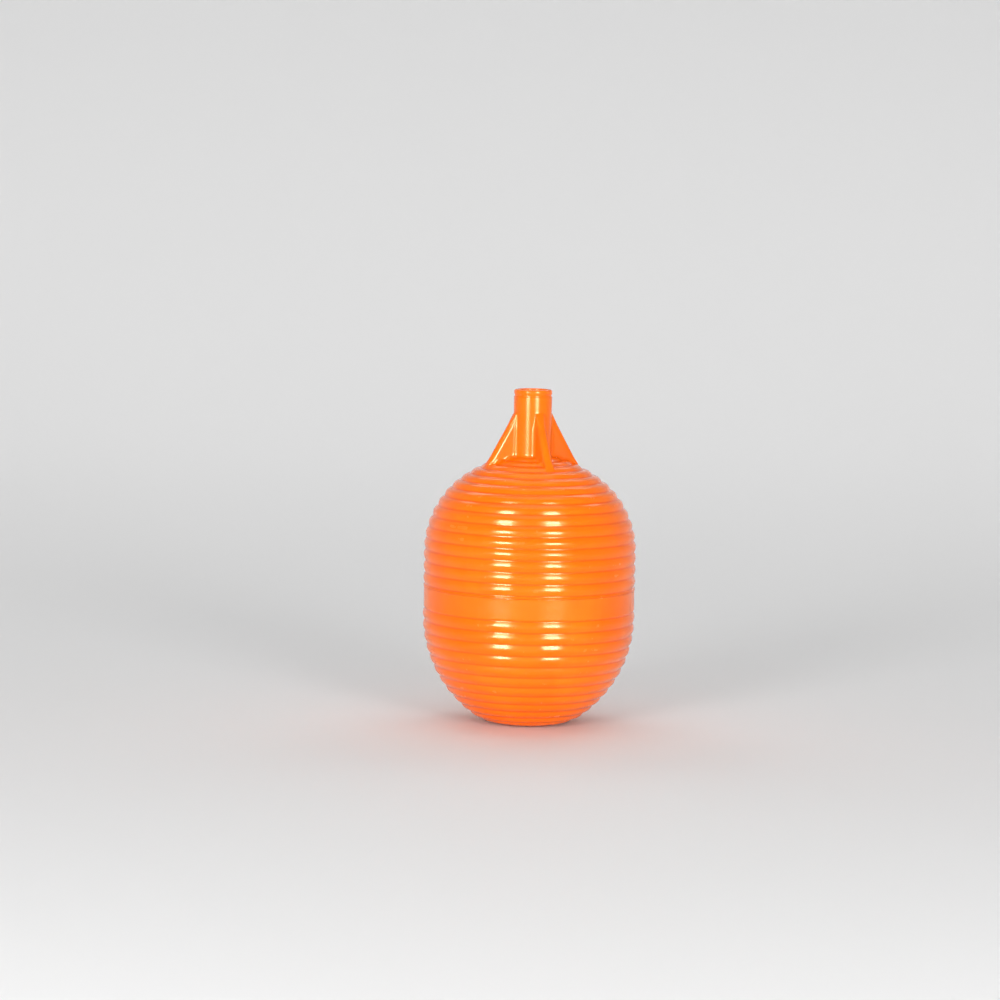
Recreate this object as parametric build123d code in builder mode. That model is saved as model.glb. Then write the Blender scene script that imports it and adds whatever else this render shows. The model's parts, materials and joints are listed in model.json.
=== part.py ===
from build123d import *
from math import hypot, isclose, radians, sin
import os

# Ribbed hollow float for a float valve: two moulded half shells welded together,
# with a blind threaded brass insert moulded into the neck to take the valve's arm.
# Millimetres. +Z runs up the neck, and the origin is the middle of the flat foot.

# Body, measured over the crests of the ribs
body_radius = 40.0
heel_radius = 20.0
heel_turn = 37.2
flank_radius = 45.5
shoulder_radius = 34.0
shoulder_turn = 55.4
shoulder_start_z = 65.4
crown_radius = 48.0
crown_turn = 23.6
wall = 2.4

# Ribs, the plain band under the seam, and the bead that welding squeezes out
rib_depth = 0.6
lower_ribs = 13
upper_ribs = 15
band_base_z = 43.3
seam_z = 51.5
band_radius = 39.75
bead_height = 0.5
seam_land = 0.9

# Weld flange inside the seam, with its tongue and groove
flange_thickness = 4.4
flange_height = 4.0
flange_taper = 2.5
tongue_width = 1.2
tongue_height = 2.0
tongue_radius = 37.8
tongue_clearance = 0.1

# Neck boss and the four webs that brace it
boss_radius = 7.2
boss_top_z = 126.0
boss_edge_round = 0.8
witness_z = 123.4
witness_depth = 0.25
witness_height = 0.8
web_thickness = 3.4
web_top_z = 117.4
web_toe_radius = 19.2
web_toe_z = 96.3
web_edge_round = 1.4
web_bury = 3.5
web_root_bury = 1.5
core_radius = 4.5
core_top_z = 102.6

# Brass insert with a blind 5/16 in Whitworth socket, 18 threads to the inch
insert_radius = 5.6
insert_waist_radius = 4.9
insert_waist_height = 4.0
insert_length = 20.5
insert_recess = 0.5
insert_collar = 1.5
knurl_notches = 24
knurl_depth = 0.45
knurl_width = 0.8
thread_minor_radius = 3.066
thread_major_radius = 3.969
socket_depth = 18.0

# Gate dimple in the middle of the foot
gate_radius = 3.0
gate_depth = 0.6
gate_nub_radius = 1.1
gate_nub_height = 0.35

os.makedirs("parts", exist_ok=True)

# The heel and flank arcs are tangent to each other, the foot and the side
foot_radius = body_radius - flank_radius + (flank_radius - heel_radius) * sin(radians(heel_turn))
flange_radius = body_radius - flange_thickness
flange_end = flange_height + flange_taper
insert_top_z = boss_top_z - insert_recess
insert_base_z = insert_top_z - insert_length
web_run = web_toe_radius - boss_radius
web_fall = web_top_z - web_toe_z
web_root_rise = web_root_bury * web_fall / web_run


def lower_path(inset, top_z):
    """The heel, flank and side from the foot's edge upwards, set in from the rib crests."""
    with BuildLine() as path:
        heel = JernArc((foot_radius, inset), (1, 0), heel_radius - inset, heel_turn)
        flank = JernArc(heel @ 1, heel % 1, flank_radius - inset, 90 - heel_turn)
        Line(flank @ 1, (body_radius - inset, top_z))
    return path.wire()


def upper_path(inset, start_z):
    """The side, shoulder and crown up to the neck, set in from the rib crests."""
    with BuildLine() as path:
        side = Line((body_radius - inset, start_z), (body_radius - inset, shoulder_start_z))
        shoulder = JernArc(side @ 1, side % 1, shoulder_radius - inset, shoulder_turn)
        JernArc(shoulder @ 1, shoulder % 1, crown_radius - inset, crown_turn)
    return path.wire()


def groove_point(path, position):
    """The bottom of the groove at a position from 0 to 1 along a path of crests."""
    along = path % position
    return path @ position - Vector(along.Y, -along.X) * rib_depth


def add_ribs(path, count):
    """Convex ribs of equal pitch along the path, each one an arc from groove to groove."""
    for rib in range(count):
        start, middle, end = rib / count, (rib + 0.5) / count, (rib + 1) / count
        ThreePointArc(groove_point(path, start), path @ middle, groove_point(path, end))


def add_ring(radius, base_z, width, height, mode):
    """A ring of square section about the neck's axis, added to or cut from the open part."""
    with BuildSketch(Plane.XZ) as section:
        with Locations((radius, base_z)):
            Rectangle(width, height, align=(Align.CENTER, Align.MIN))
    revolve(section.sketch, axis=Axis.Z, mode=mode)


def add_post(radius, base_z, top_z, mode):
    """A round post or hole on the neck's axis, added to or cut from the open part."""
    with BuildSketch(Plane.XY.offset(base_z)) as section:
        Circle(radius)
    extrude(section.sketch, amount=top_z - base_z, mode=mode)


lower_crests = lower_path(0, band_base_z)
lower_inside = lower_path(wall, seam_z - flange_end)
upper_crests = upper_path(0, seam_z + seam_land)
upper_inside = upper_path(wall, seam_z + flange_end)

# Lower shell: flat foot, ribbed heel and flank, plain band and the seam's tongue
with BuildPart() as lower_shell:
    with BuildSketch(Plane.XZ):
        with BuildLine():
            foot_groove = groove_point(lower_crests, 0)
            band_groove = groove_point(lower_crests, 1)
            Polyline((0, wall), (0, 0), (foot_radius, 0), foot_groove)
            add_ribs(lower_crests, lower_ribs)
            Polyline(
                band_groove,
                (band_radius, band_base_z + band_radius - band_groove.X),
                (band_radius, seam_z - bead_height),
                (body_radius, seam_z),
                (flange_radius, seam_z),
                (flange_radius, seam_z - flange_height),
                lower_inside @ 1,
            )
            add(lower_inside)
            Line(lower_inside @ 0, (0, wall))
        make_face()
    revolve(axis=Axis.Z)
    add_ring(tongue_radius, seam_z, tongue_width, tongue_height, Mode.ADD)
    add_post(gate_radius, 0, gate_depth, Mode.SUBTRACT)
    add_post(gate_nub_radius, gate_depth - gate_nub_height, gate_depth, Mode.ADD)
lower_shell.part.label = "lower_shell"
export_step(lower_shell.part, "parts/lower_shell.step")

# The outside of the insert, which is also the pocket it leaves in the neck
with BuildPart() as insert_outside:
    add_post(insert_radius, insert_base_z, insert_top_z, Mode.ADD)
    with BuildSketch(Plane.XY.offset(insert_base_z)):
        with PolarLocations(insert_radius, knurl_notches):
            Rectangle(2 * knurl_depth, knurl_width)
    extrude(amount=insert_length - insert_collar, mode=Mode.SUBTRACT)
    with BuildSketch(Plane.XY.offset(insert_base_z + (insert_length - insert_waist_height) / 2)):
        Circle(insert_radius)
        Circle(insert_waist_radius, mode=Mode.SUBTRACT)
    extrude(amount=insert_waist_height, mode=Mode.SUBTRACT)

# Brass insert: knurled bands either side of a waist, and a blind socket from the top
with BuildPart() as threaded_insert:
    add(insert_outside.part)
    add_post(thread_minor_radius, insert_top_z - socket_depth, insert_top_z, Mode.SUBTRACT)
    mouth = threaded_insert.faces().sort_by(Axis.Z)[-1].edges().sort_by(SortBy.RADIUS)[0]
    chamfer(mouth, thread_major_radius - thread_minor_radius)
threaded_insert.part.label = "threaded_insert"
export_step(threaded_insert.part, "parts/threaded_insert.step")

# The four webs as one cross, with rounded edges, before they join the upper shell
with BuildPart() as web_cross:
    for plane in (Plane.XZ, Plane.YZ):
        with BuildSketch(plane):
            with BuildLine():
                Polyline(
                    (0, web_top_z + web_root_rise),
                    (boss_radius - web_root_bury, web_top_z + web_root_rise),
                    (web_toe_radius, web_toe_z),
                    (web_toe_radius - web_bury, web_toe_z - web_bury),
                    (0, web_toe_z - web_bury),
                )
                mirror(about=Plane.YZ)
            make_face()
        extrude(amount=web_thickness / 2, both=True)
    slope_length = hypot(web_run + web_root_bury, web_fall + web_root_rise)
    slopes = web_cross.edges().filter_by(lambda e: isclose(e.length, slope_length, abs_tol=0.01))
    fillet(slopes, web_edge_round)

# Upper shell: ribbed side, shoulder and crown, with the boss and its webs in one moulding
with BuildPart() as upper_shell:
    with BuildSketch(Plane.XZ):
        with BuildLine():
            side_groove = groove_point(upper_crests, 0)
            neck_groove = groove_point(upper_crests, 1)
            add_ribs(upper_crests, upper_ribs)
            Polyline(
                neck_groove,
                (0, neck_groove.Y),
                (0, seam_z),
                (body_radius, seam_z),
                (band_radius, seam_z + bead_height),
                side_groove,
            )
        make_face()
    revolve(axis=Axis.Z)
    add_post(boss_radius, web_toe_z - web_bury, boss_top_z, Mode.ADD)
    fillet(upper_shell.faces().sort_by(Axis.Z)[-1].edges(), boss_edge_round)
    add(web_cross.part)
    add_ring(boss_radius, witness_z, 2 * witness_depth, witness_height, Mode.SUBTRACT)
    with BuildSketch(Plane.XZ):
        with BuildLine():
            Polyline(
                upper_inside @ 1,
                (0, (upper_inside @ 1).Y),
                (0, seam_z),
                (flange_radius, seam_z),
                (flange_radius, seam_z + flange_height),
                upper_inside @ 0,
            )
            add(upper_inside)
        make_face()
    revolve(axis=Axis.Z, mode=Mode.SUBTRACT)
    add_post(core_radius, shoulder_start_z, core_top_z, Mode.SUBTRACT)
    add_post(insert_radius, insert_top_z, boss_top_z, Mode.SUBTRACT)
    add(insert_outside.part, mode=Mode.SUBTRACT)
    groove_width = tongue_width + 2 * tongue_clearance
    add_ring(tongue_radius, seam_z, groove_width, tongue_height + tongue_clearance, Mode.SUBTRACT)
upper_shell.part.label = "upper_shell"
export_step(upper_shell.part, "parts/upper_shell.step")
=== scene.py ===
"""Looks for the ribbed float bulb: two orange moulded shells and the brass insert in the neck.

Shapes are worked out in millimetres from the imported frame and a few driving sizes, and are
turned into metres when a mesh is made. Each piece is one closed mesh of rings about the axis.
Outlines are rows of (radius, height, crest) and rings are points of (x, y, z, crest), where
crest is 1 on the top of a rib and 0 at the bottom of a groove.
"""

import json
import math

import bmesh
import bpy
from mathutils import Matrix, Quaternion, Vector, noise


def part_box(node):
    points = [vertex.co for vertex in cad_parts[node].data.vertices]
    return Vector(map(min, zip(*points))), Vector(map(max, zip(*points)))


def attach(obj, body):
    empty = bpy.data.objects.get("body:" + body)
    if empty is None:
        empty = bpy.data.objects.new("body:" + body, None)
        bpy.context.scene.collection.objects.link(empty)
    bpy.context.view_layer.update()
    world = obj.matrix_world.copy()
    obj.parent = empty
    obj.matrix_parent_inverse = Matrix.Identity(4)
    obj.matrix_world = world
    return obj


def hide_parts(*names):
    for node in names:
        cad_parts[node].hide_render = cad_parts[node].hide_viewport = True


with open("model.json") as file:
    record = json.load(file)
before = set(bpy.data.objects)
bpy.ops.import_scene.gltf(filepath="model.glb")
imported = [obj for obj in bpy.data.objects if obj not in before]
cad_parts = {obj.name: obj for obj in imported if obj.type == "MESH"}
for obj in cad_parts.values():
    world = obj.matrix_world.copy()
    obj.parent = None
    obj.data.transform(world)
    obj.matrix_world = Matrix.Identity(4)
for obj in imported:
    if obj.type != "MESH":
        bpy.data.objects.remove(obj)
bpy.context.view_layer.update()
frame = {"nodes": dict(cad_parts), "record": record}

MM = 0.001
DOWN = -math.pi / 2
UP = math.pi / 2

# ---------------------------------------------------------------- sizes from the frame, in mm
shell_base, shell_top = (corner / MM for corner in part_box("upper_shell"))
insert_base, insert_top = (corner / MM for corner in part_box("threaded_insert"))
SOCKET = next(m for m in frame["record"]["mounts"] if m["name"] == "arm_socket")

BODY_RADIUS = round(shell_top.x, 2)
SEAM_Z = round(shell_base.z, 2)
TOP_Z = round(shell_top.z, 2)
INSERT_TOP = round(insert_top.z, 2)
INSERT_BASE = round(insert_base.z, 2)
INSERT_RADIUS = round(insert_top.x, 2)
THREAD_MINOR = SOCKET["dims"]["r_mm"]

# ---------------------------------------------------------------- driving sizes, in mm
# Body, over the crests of the ribs
HEEL_RADIUS = 20.0
HEEL_TURN = math.radians(37.2)
FLANK_RADIUS = 45.5
SHOULDER_RADIUS = 34.0
SHOULDER_TURN = math.radians(55.4)
SHOULDER_START = 65.4
CROWN_RADIUS = 48.0
CROWN_TURN = math.radians(23.6)
WALL = 2.4
FOOT_ROUND = 0.3
GATE_RADIUS = 3.0
GATE_DEPTH = 0.6

# Ribs. The softness is the share of a rib that rounds its groove
RIB_DEPTH = 0.6
RIB_SOFTNESS = 0.055
LOWER_RIBS = 13
UPPER_RIBS = 15
STEPS_PER_RIB = 14
PLAIN_CREST = 0.6

# Plain band, weld bead and seam
BAND_BASE = 43.3
BAND_RADIUS = 39.75
BAND_ROUND = 0.3
BAND_EDGE = 0.55
SEAM_LAND = 0.9
SEAM_SLIT = 0.002
BEAD = 0.2
BEAD_REACH = 0.35
BEAD_UNEVENNESS = 0.09
FLANGE_RADIUS = 35.6
FLANGE_HEIGHT = 4.0
FLANGE_TAPER = 2.5
TONGUE_RADIUS = 37.8
TONGUE_HALF = 0.6
TONGUE_HEIGHT = 1.9
TONGUE_DRAFT = 0.1

# Neck boss
BOSS_RADIUS = 7.2
BOSS_FOOT_RISE = 1.25
RIM_ROUND = 0.8
MOUTH_ROUND = 0.25
WITNESS_Z = 123.8
CORE_RADIUS = 4.5
CORE_TOP = 102.6
POCKET_FIT = 0.02

# Webs. Their roundings take up to a share of their height, and they run out over the last of it
WEB_TOP = (BOSS_RADIUS, 117.4)
WEB_TOE = (19.2, 96.3)
WEB_HALF = 1.7
WEB_ROOT = 1.4
WEB_ROUND = 1.35
WEB_ROUND_SHARE = 0.9
WEB_LEAST_ROUND = 0.12
WEB_RUNOUT = 0.6
WEB_STEPS = 6
WALL_STEPS = 5
CREST_FADE = 0.5

# Columns between two webs, and the radii over which all columns become evenly spaced
SECTOR_COLUMNS = 30
EVEN_FROM = 20.0
EVEN_BY = 32.0

# Brass insert
THREAD_MAJOR = 3.969
THREAD_PITCH = 25.4 / 18
SOCKET_DEPTH = 18.0
THREAD_ENTRY = 0.5
WAIST_HALF = 2.0
WAIST_DEPTH = 0.7
KNURL_COUNT = 24
KNURL_DEPTH = 0.44
COLLAR = 1.3
THREAD_STEPS = 14

# Unevenness of the moulded walls, and where in the noise each shell lies
WAVER = 0.06
LOWER_SEED = 3.0
UPPER_SEED = 9.0

# Centres of the outline's arcs as (radius, height), and the way a web's sloping edge faces
FOOT_RADIUS = BODY_RADIUS - FLANK_RADIUS + (FLANK_RADIUS - HEEL_RADIUS) * math.sin(HEEL_TURN)
HEEL = (FOOT_RADIUS, HEEL_RADIUS)
FLANK = (
    BODY_RADIUS - FLANK_RADIUS,
    HEEL_RADIUS + (FLANK_RADIUS - HEEL_RADIUS) * math.cos(HEEL_TURN),
)
SHOULDER = (BODY_RADIUS - SHOULDER_RADIUS, SHOULDER_START)
CROWN = (
    SHOULDER[0] + (SHOULDER_RADIUS - CROWN_RADIUS) * math.cos(SHOULDER_TURN),
    SHOULDER[1] + (SHOULDER_RADIUS - CROWN_RADIUS) * math.sin(SHOULDER_TURN),
)
WEB_RUN = WEB_TOE[0] - WEB_TOP[0]
WEB_FALL = WEB_TOP[1] - WEB_TOE[1]
WEB_SLOPE = math.hypot(WEB_RUN, WEB_FALL)
WEB_FACING = (WEB_FALL / WEB_SLOPE, WEB_RUN / WEB_SLOPE)


def smooth_step(value):
    """0 below 0 and 1 above 1, with an easy rise between."""
    value = min(max(value, 0.0), 1.0)
    return value * value * (3 - 2 * value)


# ---------------------------------------------------------------- outlines
def arc(centre, radius, start, end, count):
    """Points on an arc, with angles measured up from level."""
    points = []
    for i in range(count + 1):
        angle = start + (end - start) * i / count
        points.append((centre[0] + radius * math.cos(angle), centre[1] + radius * math.sin(angle)))
    return points


def line(start, end, count):
    """Evenly spaced points from start to end, both included."""
    points = []
    for i in range(count + 1):
        share = i / count
        points.append(tuple(start[k] + (end[k] - start[k]) * share for k in (0, 1)))
    return points


class Path:
    """A chain of lines and arcs, walked by distance, that gives a point and its outward normal."""

    def __init__(self):
        self.pieces = []
        self.length = 0.0

    def add(self, length, at):
        self.pieces.append((length, at))
        self.length += length

    def add_line(self, start, end):
        length = math.dist(start, end)
        along = ((end[0] - start[0]) / length, (end[1] - start[1]) / length)

        def at(s):
            return (start[0] + along[0] * s, start[1] + along[1] * s, along[1], -along[0])

        self.add(length, at)

    def add_arc(self, centre, radius, start, end):
        def at(s):
            out = (math.cos(start + s / radius), math.sin(start + s / radius))
            return (centre[0] + radius * out[0], centre[1] + radius * out[1], *out)

        self.add(radius * (end - start), at)

    def at(self, s):
        for length, point in self.pieces:
            if s <= length:
                return point(s)
            s -= length
        return point(length + s)


def lower_path():
    """The crests from the foot's edge, round the heel and up the flank to the plain band."""
    path = Path()
    path.add_arc(HEEL, HEEL_RADIUS, DOWN, DOWN + HEEL_TURN)
    path.add_arc(FLANK, FLANK_RADIUS, DOWN + HEEL_TURN, 0.0)
    path.add_line((BODY_RADIUS, FLANK[1]), (BODY_RADIUS, BAND_BASE))
    return path


def upper_path():
    """The crests from above the seam, over the shoulder and crown to the neck."""
    path = Path()
    path.add_line((BODY_RADIUS, SEAM_Z + SEAM_LAND), (BODY_RADIUS, SHOULDER_START))
    path.add_arc(SHOULDER, SHOULDER_RADIUS, 0.0, SHOULDER_TURN)
    path.add_arc(CROWN, CROWN_RADIUS, SHOULDER_TURN, SHOULDER_TURN + CROWN_TURN)
    return path


def ribbed(path, count):
    """Rows along a path with convex ribs of equal pitch and softly rounded grooves."""
    rows = []
    for i in range(count * STEPS_PER_RIB + 1):
        place = i / STEPS_PER_RIB
        to_groove = abs(place - round(place))
        eased = math.sqrt(to_groove**2 + RIB_SOFTNESS**2) - RIB_SOFTNESS
        drop = RIB_DEPTH * (1 - 2 * eased) ** 2
        r, z, out_r, out_z = path.at(place * path.length / count)
        rows.append((r - out_r * drop, z - out_z * drop, 1 - drop / RIB_DEPTH))
    return rows


def plain(points, crest=PLAIN_CREST):
    """Rows for a stretch with no ribs."""
    return [(r, z, crest) for r, z in points]


def distinct(rows):
    """The rows without those that repeat the row before."""
    kept = [rows[0]]
    for row in rows[1:]:
        if math.dist(row[:2], kept[-1][:2]) > 1e-4:
            kept.append(row)
    return kept


# ---------------------------------------------------------------- meshes from rings
def ring_mesh(name, rings):
    """A mesh that joins each ring to the next. Rings have equal counts, or one point on the axis."""
    bm = bmesh.new()
    crest_layer = bm.verts.layers.float.new("crest")
    made = []
    for ring in rings:
        verts = []
        for x, y, z, crest in ring:
            vert = bm.verts.new((x * MM, y * MM, z * MM))
            vert[crest_layer] = crest
            verts.append(vert)
        made.append(verts)
    for lower, upper in zip(made, made[1:]):
        count = max(len(lower), len(upper))
        for i in range(count):
            j = (i + 1) % count
            if len(lower) == 1:
                bm.faces.new((lower[0], upper[j], upper[i]))
            elif len(upper) == 1:
                bm.faces.new((lower[i], lower[j], upper[0]))
            else:
                bm.faces.new((lower[i], lower[j], upper[j], upper[i]))
    bmesh.ops.recalc_face_normals(bm, faces=bm.faces)
    for face in bm.faces:
        face.smooth = True
    mesh = bpy.data.meshes.new(name)
    bm.to_mesh(mesh)
    bm.free()
    piece = bpy.data.objects.new(name, mesh)
    bpy.context.scene.collection.objects.link(piece)
    return piece


def lathe(name, rows, columns, shape=None):
    """Turns rows about the axis. shape gives the change of radius at an angle on a row."""
    rings = []
    for r, z, crest in rows:
        if r < 1e-6:
            rings.append([(0.0, 0.0, z, crest)])
            continue
        ring = []
        for i in range(columns):
            angle = 2 * math.pi * i / columns
            radius = r + (shape(angle, r, z) if shape else 0.0)
            ring.append((radius * math.cos(angle), radius * math.sin(angle), z, crest))
        rings.append(ring)
    return ring_mesh(name, rings)


def moulding_waver(angle, z, seed):
    """A slow unevenness of the moulded wall, never outwards of the true shape."""
    place = Vector((math.cos(angle) * 1.4, math.sin(angle) * 1.4, z * 0.035 + seed))
    return WAVER * (noise.noise(place) - 1.0) * 0.5


def bead_waver(angle, r, z):
    """The squeezed-out bead at the seam isn't quite even round the body."""
    if abs(z - SEAM_Z) > BEAD_REACH or r < BAND_RADIUS + 0.01:
        return 0.0
    place = Vector((math.cos(angle) * 6, math.sin(angle) * 6, 0.5))
    return BEAD_UNEVENNESS * (noise.noise(place) - 0.6)


# ---------------------------------------------------------------- the weld between the shells
def bead(side):
    """Rows of the weld bead from the band to the seam, below it with side -1, above it with 1."""
    rows = plain(arc((BAND_RADIUS, SEAM_Z + side * BEAD), BEAD, side * UP, 0.0, 4), 1.0)
    lip = (BAND_RADIUS + 0.85 * BEAD, SEAM_Z + side * 0.3 * BEAD)
    slit = (BAND_RADIUS + 0.1 * BEAD, SEAM_Z + (SEAM_SLIT if side > 0 else 0.0))
    return rows + plain([lip, slit], 0.0)


def tongue(gap, base_z):
    """The tongue in the seam from the outside in, or the groove that clears it by a gap."""
    root, tip = TONGUE_HALF + TONGUE_DRAFT + gap / 2, TONGUE_HALF + gap
    top_z = SEAM_Z + TONGUE_HEIGHT + 2 * gap
    return [
        (TONGUE_RADIUS + root, base_z),
        (TONGUE_RADIUS + tip, top_z),
        (TONGUE_RADIUS - tip, top_z),
        (TONGUE_RADIUS - root, base_z),
    ]


# ---------------------------------------------------------------- lower shell
def gate_dimple():
    """The dimple under the foot, round the nub where the sprue broke off, from the axis out."""
    nub = [(0.0, 0.28), (0.5, 0.25), (0.9, 0.27), (1.1, 0.33), (1.2, GATE_DEPTH)]
    edge = [(-0.3, GATE_DEPTH), (-0.12, 0.5), (0.0, 0.3), (0.06, 0.1), (0.25, 0.0)]
    return nub + [(GATE_RADIUS + past, z) for past, z in edge]


def lower_shell():
    """Foot with its gate dimple, ribbed heel and flank, plain band, bead, flange and inside."""
    foot_edge = FOOT_RADIUS - FOOT_ROUND - 0.05
    rows = plain(gate_dimple())
    rows += plain(line((GATE_RADIUS + 0.5, 0.0), (foot_edge, 0.0), 12), 1.0)
    rows += plain(arc((foot_edge, FOOT_ROUND), FOOT_ROUND, DOWN, -0.35, 5))
    rows += ribbed(lower_path(), LOWER_RIBS)
    rows += plain(arc((BAND_RADIUS - BAND_ROUND, BAND_BASE + BAND_EDGE), BAND_ROUND, -1.0, 0.0, 4))
    rows += plain(line((BAND_RADIUS, BAND_BASE + 1.0), (BAND_RADIUS, SEAM_Z - BAND_EDGE), 20), 0.7)
    rows += bead(-1)
    rows += plain(tongue(0.0, SEAM_Z))
    rows += plain([(FLANGE_RADIUS, SEAM_Z), (FLANGE_RADIUS, SEAM_Z - FLANGE_HEIGHT)])
    rows += plain([(BODY_RADIUS - WALL, SEAM_Z - FLANGE_HEIGHT - FLANGE_TAPER)])
    rows += plain(arc(FLANK, FLANK_RADIUS - WALL, 0.0, DOWN + HEEL_TURN, 24))
    rows += plain(arc(HEEL, HEEL_RADIUS - WALL, DOWN + HEEL_TURN, DOWN, 12))
    rows += plain([(0.0, WALL)])

    def uneven(angle, r, z):
        return moulding_waver(angle, z, LOWER_SEED) + bead_waver(angle, r, z)

    piece = lathe("ribbed_lower_shell", distinct(rows), 216, uneven)
    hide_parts("lower_shell")
    return piece


# ---------------------------------------------------------------- webs on the upper shell
def web_height(r, z):
    """How far a web's sloping edge stands off a point, square to that edge."""
    if r >= WEB_TOE[0] + 2:
        return 0.0
    return (WEB_TOP[0] - r) * WEB_FACING[0] + (WEB_TOP[1] - z) * WEB_FACING[1]


def crest_height(r, z):
    """A web's height over the tube, or over the crown's rib crests outside it."""
    if r <= BOSS_RADIUS + 0.01:
        return web_height(r, z)
    out_r, out_z = r - CROWN[0], z - CROWN[1]
    scale = max(CROWN_RADIUS / math.hypot(out_r, out_z), 1.0)
    return web_height(CROWN[0] + out_r * scale, CROWN[1] + out_z * scale)


def web_side(height, over_crests):
    """One side of a web's section, from the root in to the middle, as (offset, rise) pairs.

    The root's fillet and the edge's round shrink together where the web runs out, by its height
    over the crests, so that they don't waver where it crosses the ribs.
    """
    share = WEB_ROUND_SHARE * over_crests / (WEB_ROOT + WEB_ROUND)
    share = min(max(share, WEB_LEAST_ROUND), 1.0)
    root, edge = WEB_ROOT * share, WEB_ROUND * share
    quarter = [math.pi / 2 * i / WEB_STEPS for i in range(WEB_STEPS + 1)]
    side = [(WEB_HALF + root * (1 - math.sin(t)), root * (1 - math.cos(t))) for t in quarter]
    wall = height - edge - root
    side += [(WEB_HALF, root + wall * i / WALL_STEPS) for i in range(1, WALL_STEPS)]
    side += [(WEB_HALF - edge * (1 - math.cos(t)), height - edge * (1 - math.sin(t))) for t in quarter]
    side += [((WEB_HALF - edge) / 2, height), (0.0, height)]
    return side


def quarter_columns(r, z):
    """A quarter of a ring as (angle, rise) pairs, over one web and along the wall to the next."""
    height = max(web_height(r, z), 0.0)
    over_crests = crest_height(r, z)
    formed = smooth_step(over_crests / WEB_RUNOUT)
    section = web_side(height, over_crests)
    columns = []
    for i, (offset, rise) in enumerate(section):
        share = i / (len(section) - 1)
        spread = (WEB_HALF + WEB_ROOT) * (1 - share)
        swell = height * smooth_step(share * 1.5)
        across = spread + (offset - spread) * formed
        columns.append((-math.asin(min(across / r, 0.95)), swell + (rise - swell) * formed))
    columns += [(-angle, rise) for angle, rise in reversed(columns[:-1])]
    edge = -columns[0][0]
    wall_turn = math.pi / 2 - 2 * edge
    columns += [(edge + wall_turn * i / SECTOR_COLUMNS, 0.0) for i in range(1, SECTOR_COLUMNS)]
    even = smooth_step((r - EVEN_FROM) / (EVEN_BY - EVEN_FROM))
    evened = []
    for i, (angle, rise) in enumerate(columns):
        even_angle = math.pi / 2 * i / len(columns) - edge
        evened.append((angle + (even_angle - angle) * even, rise))
    return evened


def outer_ring(r, z, crest):
    """One ring of the outside, with a web's section standing on it at every quarter turn."""
    ring = []
    columns = quarter_columns(r, z)
    for turn in (0.0, math.pi / 2, math.pi, math.pi * 3 / 2):
        for angle, rise in columns:
            base = r + moulding_waver(turn + angle, z, UPPER_SEED)
            base += bead_waver(turn + angle, r, z)
            x = base * math.cos(angle) + rise * WEB_FACING[0]
            y = base * math.sin(angle)
            ring.append(
                (
                    x * math.cos(turn) - y * math.sin(turn),
                    x * math.sin(turn) + y * math.cos(turn),
                    z + rise * WEB_FACING[1],
                    crest + (PLAIN_CREST - crest) * smooth_step(rise / CREST_FADE),
                )
            )
    return ring


def hidden_ring(r, z, crest):
    """One ring of the pocket or the inside, whose columns meet those of the outside."""
    if r < 1e-6:
        return [(0.0, 0.0, z, crest)]
    angles = [math.atan2(y, x) for x, y, *_ in outer_ring(max(r, BOSS_RADIUS), TOP_Z, crest)]
    return [(r * math.cos(angle), r * math.sin(angle), z, crest) for angle in angles]


# ---------------------------------------------------------------- upper shell
def neck(meet):
    """The mouth's rim, the witness ring, the tube and the fillet that meets the crown."""
    rim = line((INSERT_RADIUS + 0.35, TOP_Z), (BOSS_RADIUS - RIM_ROUND - 0.1, TOP_Z), 3)
    rim += arc((BOSS_RADIUS - RIM_ROUND, TOP_Z - RIM_ROUND), RIM_ROUND, UP, 0.0, 8)
    dips = [(0.0, 0.55), (0.08, 0.42), (0.22, 0.3), (0.25, 0.0)]
    dips += [(depth, -rise) for depth, rise in reversed(dips[:-1])]
    witness = [(BOSS_RADIUS - depth, WITNESS_Z + rise) for depth, rise in dips]
    fillet = (BOSS_RADIUS, meet[1] + BOSS_FOOT_RISE)
    bend = (BOSS_RADIUS, meet[1] + 0.1)
    tube = line((BOSS_RADIUS, WITNESS_Z - 0.9), (BOSS_RADIUS, WEB_TOP[1] + 0.6), 10)
    tube += line((BOSS_RADIUS, WEB_TOP[1] + 0.2), fillet, 46)
    root = []
    for i in range(1, 8):
        t = i / 8
        pulls = (((1 - t) ** 2, fillet), (2 * t * (1 - t), bend), (t * t, meet))
        root.append(tuple(sum(share * point[k] for share, point in pulls) for k in (0, 1)))
    return plain(rim + witness + tube + root)


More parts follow.
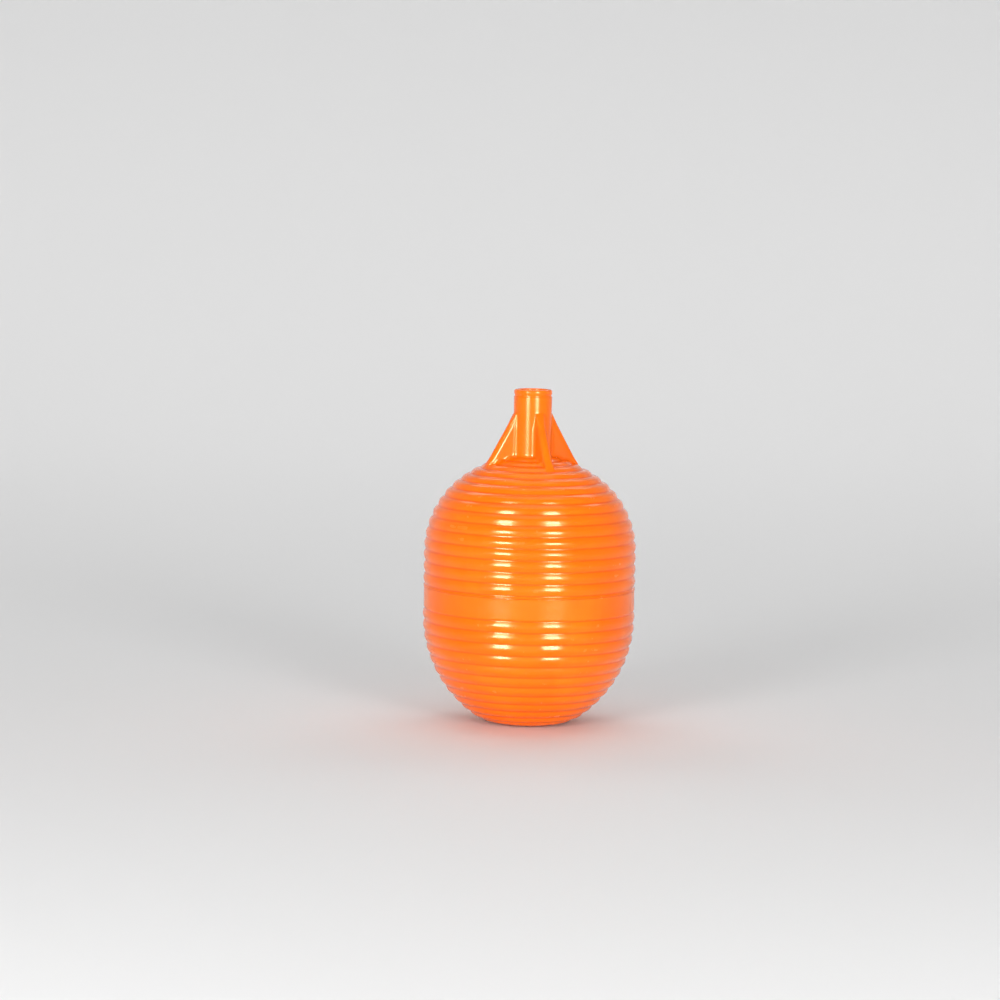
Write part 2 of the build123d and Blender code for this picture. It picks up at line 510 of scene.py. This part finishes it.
def upper_shell():
    """Pocket, mouth, neck with its webs, ribbed crown and shoulder, seam face and inside."""
    wall_radius = INSERT_RADIUS + POCKET_FIT
    pocket = [(0.0, INSERT_BASE - POCKET_FIT), (wall_radius, INSERT_BASE - POCKET_FIT)]
    pocket += line((wall_radius, INSERT_BASE + 2), (wall_radius, TOP_Z - 0.3), 8)
    mouth_centre = (wall_radius + MOUTH_ROUND, TOP_Z - MOUTH_ROUND)
    pocket += arc(mouth_centre, MOUTH_ROUND, math.pi, UP, 5)
    ribs = list(reversed(ribbed(upper_path(), UPPER_RIBS)))
    ribs = [row for row in ribs if row[0] > BOSS_RADIUS + 1.0]
    outside = distinct(neck(ribs[0]) + ribs + bead(1))
    face_z = SEAM_Z + SEAM_SLIT
    inside = tongue(0.1, face_z)
    inside += [(FLANGE_RADIUS, face_z), (FLANGE_RADIUS, SEAM_Z + FLANGE_HEIGHT)]
    inside += [(BODY_RADIUS - WALL, SEAM_Z + FLANGE_HEIGHT + FLANGE_TAPER)]
    inside += arc(SHOULDER, SHOULDER_RADIUS - WALL, 0.0, SHOULDER_TURN, 16)
    inside += arc(CROWN, CROWN_RADIUS - WALL, SHOULDER_TURN, SHOULDER_TURN + CROWN_TURN, 8)
    inside += [(CORE_RADIUS, inside[-1][1]), (CORE_RADIUS, CORE_TOP), (0.0, CORE_TOP)]
    rings = [hidden_ring(*row) for row in plain(pocket)]
    rings += [outer_ring(*row) for row in outside]
    rings += [hidden_ring(*row) for row in distinct(plain(inside))]
    piece = ring_mesh("ribbed_upper_shell", rings)
    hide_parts("upper_shell")
    return piece


# ---------------------------------------------------------------- brass insert
def threaded_insert():
    """Turned brass: a knurled outside, and a blind socket with its Whitworth thread."""
    floor_z = INSERT_TOP - SOCKET_DEPTH
    thread_rows = int((SOCKET_DEPTH - 1.7) / THREAD_PITCH * THREAD_STEPS)
    rows = [(0.0, floor_z), (THREAD_MINOR / 2, floor_z), (THREAD_MINOR, floor_z + 0.3)]
    rows += line((THREAD_MINOR, floor_z + 0.8), (THREAD_MINOR, INSERT_TOP - 0.75), thread_rows)
    rows += line((THREAD_MAJOR - 0.12, INSERT_TOP - 0.3), (THREAD_MAJOR, INSERT_TOP - 0.05), 3)
    rows += [(THREAD_MAJOR + 0.12, INSERT_TOP)]
    rows += line((THREAD_MAJOR + 0.5, INSERT_TOP), (INSERT_RADIUS - 0.2, INSERT_TOP), 4)
    rows += [(INSERT_RADIUS - 0.05, INSERT_TOP - 0.05), (INSERT_RADIUS, INSERT_TOP - 0.2)]
    rows += line((INSERT_RADIUS, INSERT_TOP - 1.4), (INSERT_RADIUS, INSERT_BASE + 0.3), 40)
    rows += [(INSERT_RADIUS - 0.3, INSERT_BASE), (0.0, INSERT_BASE)]

    def cut(angle, r, z):
        if abs(r - THREAD_MINOR) < 1e-6 and z > floor_z + THREAD_ENTRY:
            phase = z / THREAD_PITCH - angle / (2 * math.pi)
            tooth = 0.5 - 0.5 * math.cos(2 * math.pi * phase)
            from_floor = (z - floor_z - THREAD_ENTRY) / 1.5
            from_top = (INSERT_TOP - 0.4 - z) / THREAD_ENTRY
            return (THREAD_MAJOR - THREAD_MINOR) * tooth * min(1.0, from_floor, max(from_top, 0.0))
        if r > INSERT_RADIUS - 0.01 and z < INSERT_TOP - COLLAR:
            if abs(z - (INSERT_TOP + INSERT_BASE) / 2) < WAIST_HALF:
                return -WAIST_DEPTH
            return -KNURL_DEPTH * (0.5 + 0.5 * math.cos(KNURL_COUNT * angle))
        return 0.0

    piece = lathe("brass_threaded_insert", distinct(plain(rows)), 192, cut)
    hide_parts("threaded_insert")
    return piece


# ---------------------------------------------------------------- materials
class Nodes:
    """A node tree with short calls for the nodes that the materials here use."""

    def __init__(self, name):
        self.material = bpy.data.materials.new(name)
        self.material.use_nodes = True
        self.tree = self.material.node_tree
        self.shader = self.tree.nodes["Principled BSDF"]
        self.place = self.tree.nodes.new("ShaderNodeTexCoord").outputs["Object"]

    def link(self, output, target):
        self.tree.links.new(output, target)

    def noise(self, scale, detail=2.0, roughness=0.5, stretch=None):
        node = self.tree.nodes.new("ShaderNodeTexNoise")
        node.inputs["Scale"].default_value = scale
        node.inputs["Detail"].default_value = detail
        node.inputs["Roughness"].default_value = roughness
        place = self.place
        if stretch:
            mapping = self.tree.nodes.new("ShaderNodeMapping")
            mapping.inputs["Scale"].default_value = stretch
            self.link(place, mapping.inputs["Vector"])
            place = mapping.outputs["Vector"]
        self.link(place, node.inputs["Vector"])
        return node.outputs["Fac"]

    def ramp(self, value, low, high, start=0.0, end=1.0):
        node = self.tree.nodes.new("ShaderNodeMapRange")
        node.interpolation_type = "SMOOTHSTEP"
        for key, number in (("From Min", low), ("From Max", high), ("To Min", start), ("To Max", end)):
            node.inputs[key].default_value = number
        self.link(value, node.inputs["Value"])
        return node.outputs["Result"]

    def math(self, operation, first, second):
        node = self.tree.nodes.new("ShaderNodeMath")
        node.operation = operation
        for socket, value in zip(node.inputs, (first, second)):
            if isinstance(value, (int, float)):
                socket.default_value = value
            else:
                self.link(value, socket)
        return node.outputs["Value"]

    def mix(self, share, first, second):
        node = self.tree.nodes.new("ShaderNodeMix")
        node.data_type = "RGBA"
        self.link(share, node.inputs["Factor"])
        for socket, value in ((node.inputs[6], first), (node.inputs[7], second)):
            if isinstance(value, tuple):
                socket.default_value = (*value, 1.0)
            else:
                self.link(value, socket)
        return node.outputs[2]

    def crest(self):
        node = self.tree.nodes.new("ShaderNodeAttribute")
        node.attribute_name = "crest"
        return node.outputs["Fac"]

    def bump(self, height, distance, strength, normal=None):
        node = self.tree.nodes.new("ShaderNodeBump")
        node.inputs["Distance"].default_value = distance
        node.inputs["Strength"].default_value = strength
        self.link(height, node.inputs["Height"])
        if normal:
            self.link(normal, node.inputs["Normal"])
        return node.outputs["Normal"]


def orange_plastic():
    """Glossy moulded orange plastic: cloudy colour, painted shade in the rib grooves, orange-peel
    skin, lightly rubbed rib crests.
    """
    n = Nodes("orange_moulded_plastic")
    cloud = n.ramp(n.noise(38.0, 3.0), 0.35, 0.65)
    colour = n.mix(cloud, (0.93, 0.143, 0.001), (0.96, 0.163, 0.002))
    flow = n.ramp(n.noise(95.0, 4.0, 0.6, (1.0, 1.0, 0.25)), 0.50, 0.72)
    colour = n.mix(n.math("MULTIPLY", flow, 0.3), colour, (0.98, 0.195, 0.006))
    # Painted shade: the bottoms of the rib grooves are coloured darker and redder, as if shade fell
    # there.
    groove = n.ramp(n.crest(), 0.35, 0.0)
    colour = n.mix(n.math("MULTIPLY", groove, 0.8), colour, (0.84, 0.095, 0.001))
    rubbed = n.ramp(n.noise(150.0, 5.0, 0.7, (1.0, 1.0, 0.4)), 0.52, 0.70)
    worn = n.math("MULTIPLY", rubbed, n.ramp(n.crest(), 0.75, 1.0))
    colour = n.mix(n.math("MULTIPLY", worn, 0.12), colour, (0.99, 0.27, 0.04))
    n.link(colour, n.shader.inputs["Base Color"])
    gloss = n.ramp(n.noise(160.0, 3.0), 0.3, 0.7, 0.15, 0.24)
    n.link(n.math("ADD", gloss, n.math("MULTIPLY", worn, 0.14)), n.shader.inputs["Roughness"])
    skin = n.bump(n.noise(900.0, 2.0, 0.5), 0.00003, 0.5)
    skin = n.bump(n.noise(230.0, 2.0, 0.5), 0.00010, 0.35, skin)
    n.link(skin, n.shader.inputs["Normal"])
    n.shader.inputs["IOR"].default_value = 1.49
    n.shader.inputs["Specular Tint"].default_value = (1.0, 0.8, 0.42, 1.0)
    n.shader.inputs["Coat Weight"].default_value = 0.15
    n.shader.inputs["Coat Roughness"].default_value = 0.06
    n.shader.inputs["Subsurface Weight"].default_value = 0.10
    n.shader.inputs["Subsurface Radius"].default_value = (1.0, 0.3, 0.06)
    n.shader.inputs["Subsurface Scale"].default_value = 0.0025
    return n.material


def turned_brass():
    """Machined brass with fine turning marks and a little tarnish."""
    n = Nodes("turned_brass")
    tarnish = n.ramp(n.noise(420.0, 4.0, 0.6), 0.45, 0.72)
    n.link(n.mix(tarnish, (0.80, 0.56, 0.22), (0.52, 0.33, 0.12)), n.shader.inputs["Base Color"])
    n.link(n.ramp(n.noise(700.0, 3.0), 0.3, 0.7, 0.2, 0.36), n.shader.inputs["Roughness"])
    marks = n.noise(3000.0, 2.0, 0.5, (0.12, 0.12, 1.0))
    n.link(n.bump(marks, 0.00003, 0.6), n.shader.inputs["Normal"])
    n.shader.inputs["Metallic"].default_value = 1.0
    return n.material


def studio_grey(name, colour):
    """A plain matt surface for the floor and backdrop."""
    n = Nodes(name)
    n.shader.inputs["Base Color"].default_value = (*colour, 1.0)
    n.shader.inputs["Roughness"].default_value = 0.75
    n.shader.inputs["Specular IOR Level"].default_value = 0.2
    return n.material


# ---------------------------------------------------------------- stage, light and camera
VIEW_AZIMUTH = math.radians(-22.0)
CAMERA_DISTANCE = 1.2
CAMERA_HEIGHT = 0.199
AIM_HEIGHT = 0.084
AIM_ASIDE = -0.01165
LENS = 115.3
ROLL = math.radians(1.15)
FLOOR_RADIUS = 1000.0
FLOOR_CURVE = 1400.0
WALL_HEIGHT = 1500.0
FLOOR_COLOUR = (0.76, 0.76, 0.76)
SURROUND = 0.24
LIT_POINT = (0.0, 0.0, 0.06)

# Lights as name, turn from the camera, distance, height, size, power, and what they act on
LIGHTS = (
    ("left_panel", -29.0, 1.15, 0.24, (0.35, 0.40), 9.0, "all"),
    ("right_panel", 26.0, 1.15, 0.24, (0.35, 0.40), 8.3, "all"),
    ("left_glint", -29.0, 1.14, 0.36, (0.30, 0.64), 9.6, "reflections"),
    ("right_glint", 26.0, 1.14, 0.36, (0.30, 0.64), 9.6, "reflections"),
    ("left_fill", -140.0, 1.5, 1.2, (1.0, 1.0), 3.4, "surfaces"),
    ("right_fill", 140.0, 1.5, 1.2, (1.0, 1.0), 3.4, "surfaces"),
    ("top_soft", 0.0, 0.0, 1.5, (1.2, 1.2), 4.2, "all"),
)


def away(azimuth):
    """The level direction from the bulb towards a viewer at that azimuth."""
    return Vector((math.sin(azimuth), -math.cos(azimuth), 0.0))


def stage():
    """A pale round floor whose rim curves up into a low wall all round, sized in mm."""
    outline = line((0.0, 0.0), (FLOOR_RADIUS, 0.0), 12)
    outline += arc((FLOOR_RADIUS, FLOOR_CURVE), FLOOR_CURVE, DOWN, 0.0, 32)[1:]
    outline += [(FLOOR_RADIUS + FLOOR_CURVE, WALL_HEIGHT)]
    sweep = lathe("sweep", plain(outline), 96)
    sweep.data.materials.append(studio_grey("pale_floor", FLOOR_COLOUR))


def area_light(name, position, target, size, power, acts_on="all"):
    """A soft rectangular light that faces its target, for reflections, plain surfaces or all."""
    data = bpy.data.lights.new(name, "AREA")
    data.shape = "RECTANGLE"
    data.size, data.size_y = size
    data.energy = power
    lamp = bpy.data.objects.new(name, data)
    lamp.location = position
    lamp.rotation_euler = (Vector(target) - Vector(position)).to_track_quat("-Z", "Y").to_euler()
    lamp.visible_glossy = acts_on != "surfaces"
    lamp.visible_diffuse = acts_on != "reflections"
    bpy.context.scene.collection.objects.link(lamp)


def lights():
    """Upright panels beside the camera, soft lights above and behind, and a pale surround."""
    for name, turn, distance, height, size, power, acts_on in LIGHTS:
        level = away(VIEW_AZIMUTH + math.radians(turn)) * distance
        area_light(name, level + Vector((0, 0, height)), LIT_POINT, size, power, acts_on)
    behind = -away(VIEW_AZIMUTH)
    area_light("back_wash", behind * 1.2 + Vector((0, 0, 1.3)), behind * 1.5, (1.6, 0.8), 7.0)
    world = bpy.data.worlds.new("studio")
    world.use_nodes = True
    background = world.node_tree.nodes["Background"]
    background.inputs["Color"].default_value = (1.0, 1.0, 1.0, 1.0)
    background.inputs["Strength"].default_value = SURROUND
    bpy.context.scene.world = world
    bpy.context.scene.view_settings.view_transform = "Standard"


def camera():
    """The view from a little above the bulb, with one web turned to the right of the middle."""
    data = bpy.data.cameras.new("camera")
    data.lens = LENS
    data.sensor_width = 36.0
    lens = bpy.data.objects.new("camera", data)
    lens.location = away(VIEW_AZIMUTH) * CAMERA_DISTANCE + Vector((0, 0, CAMERA_HEIGHT))
    aside = away(VIEW_AZIMUTH + math.pi / 2) * AIM_ASIDE
    look = aside + Vector((0, 0, AIM_HEIGHT)) - lens.location
    turn = look.to_track_quat("-Z", "Y")
    lens.rotation_mode = "QUATERNION"
    lens.rotation_quaternion = turn @ Quaternion((0, 0, 1), ROLL)
    bpy.context.scene.collection.objects.link(lens)
    bpy.context.scene.camera = lens


# ---------------------------------------------------------------- the bulb
plastic = orange_plastic()
brass = turned_brass()
pieces = (
    (lower_shell(), plastic, "orange_plastic"),
    (upper_shell(), plastic, "orange_plastic"),
    (threaded_insert(), brass, "insert_brass"),
)
for piece, material, slot_name in pieces:
    piece.data.materials.append(material)
    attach(piece, "root")
for node, object_ in frame["nodes"].items():
    object_.data.materials.clear()
    object_.data.materials.append(brass if node == "threaded_insert" else plastic)

stage()
lights()
camera()
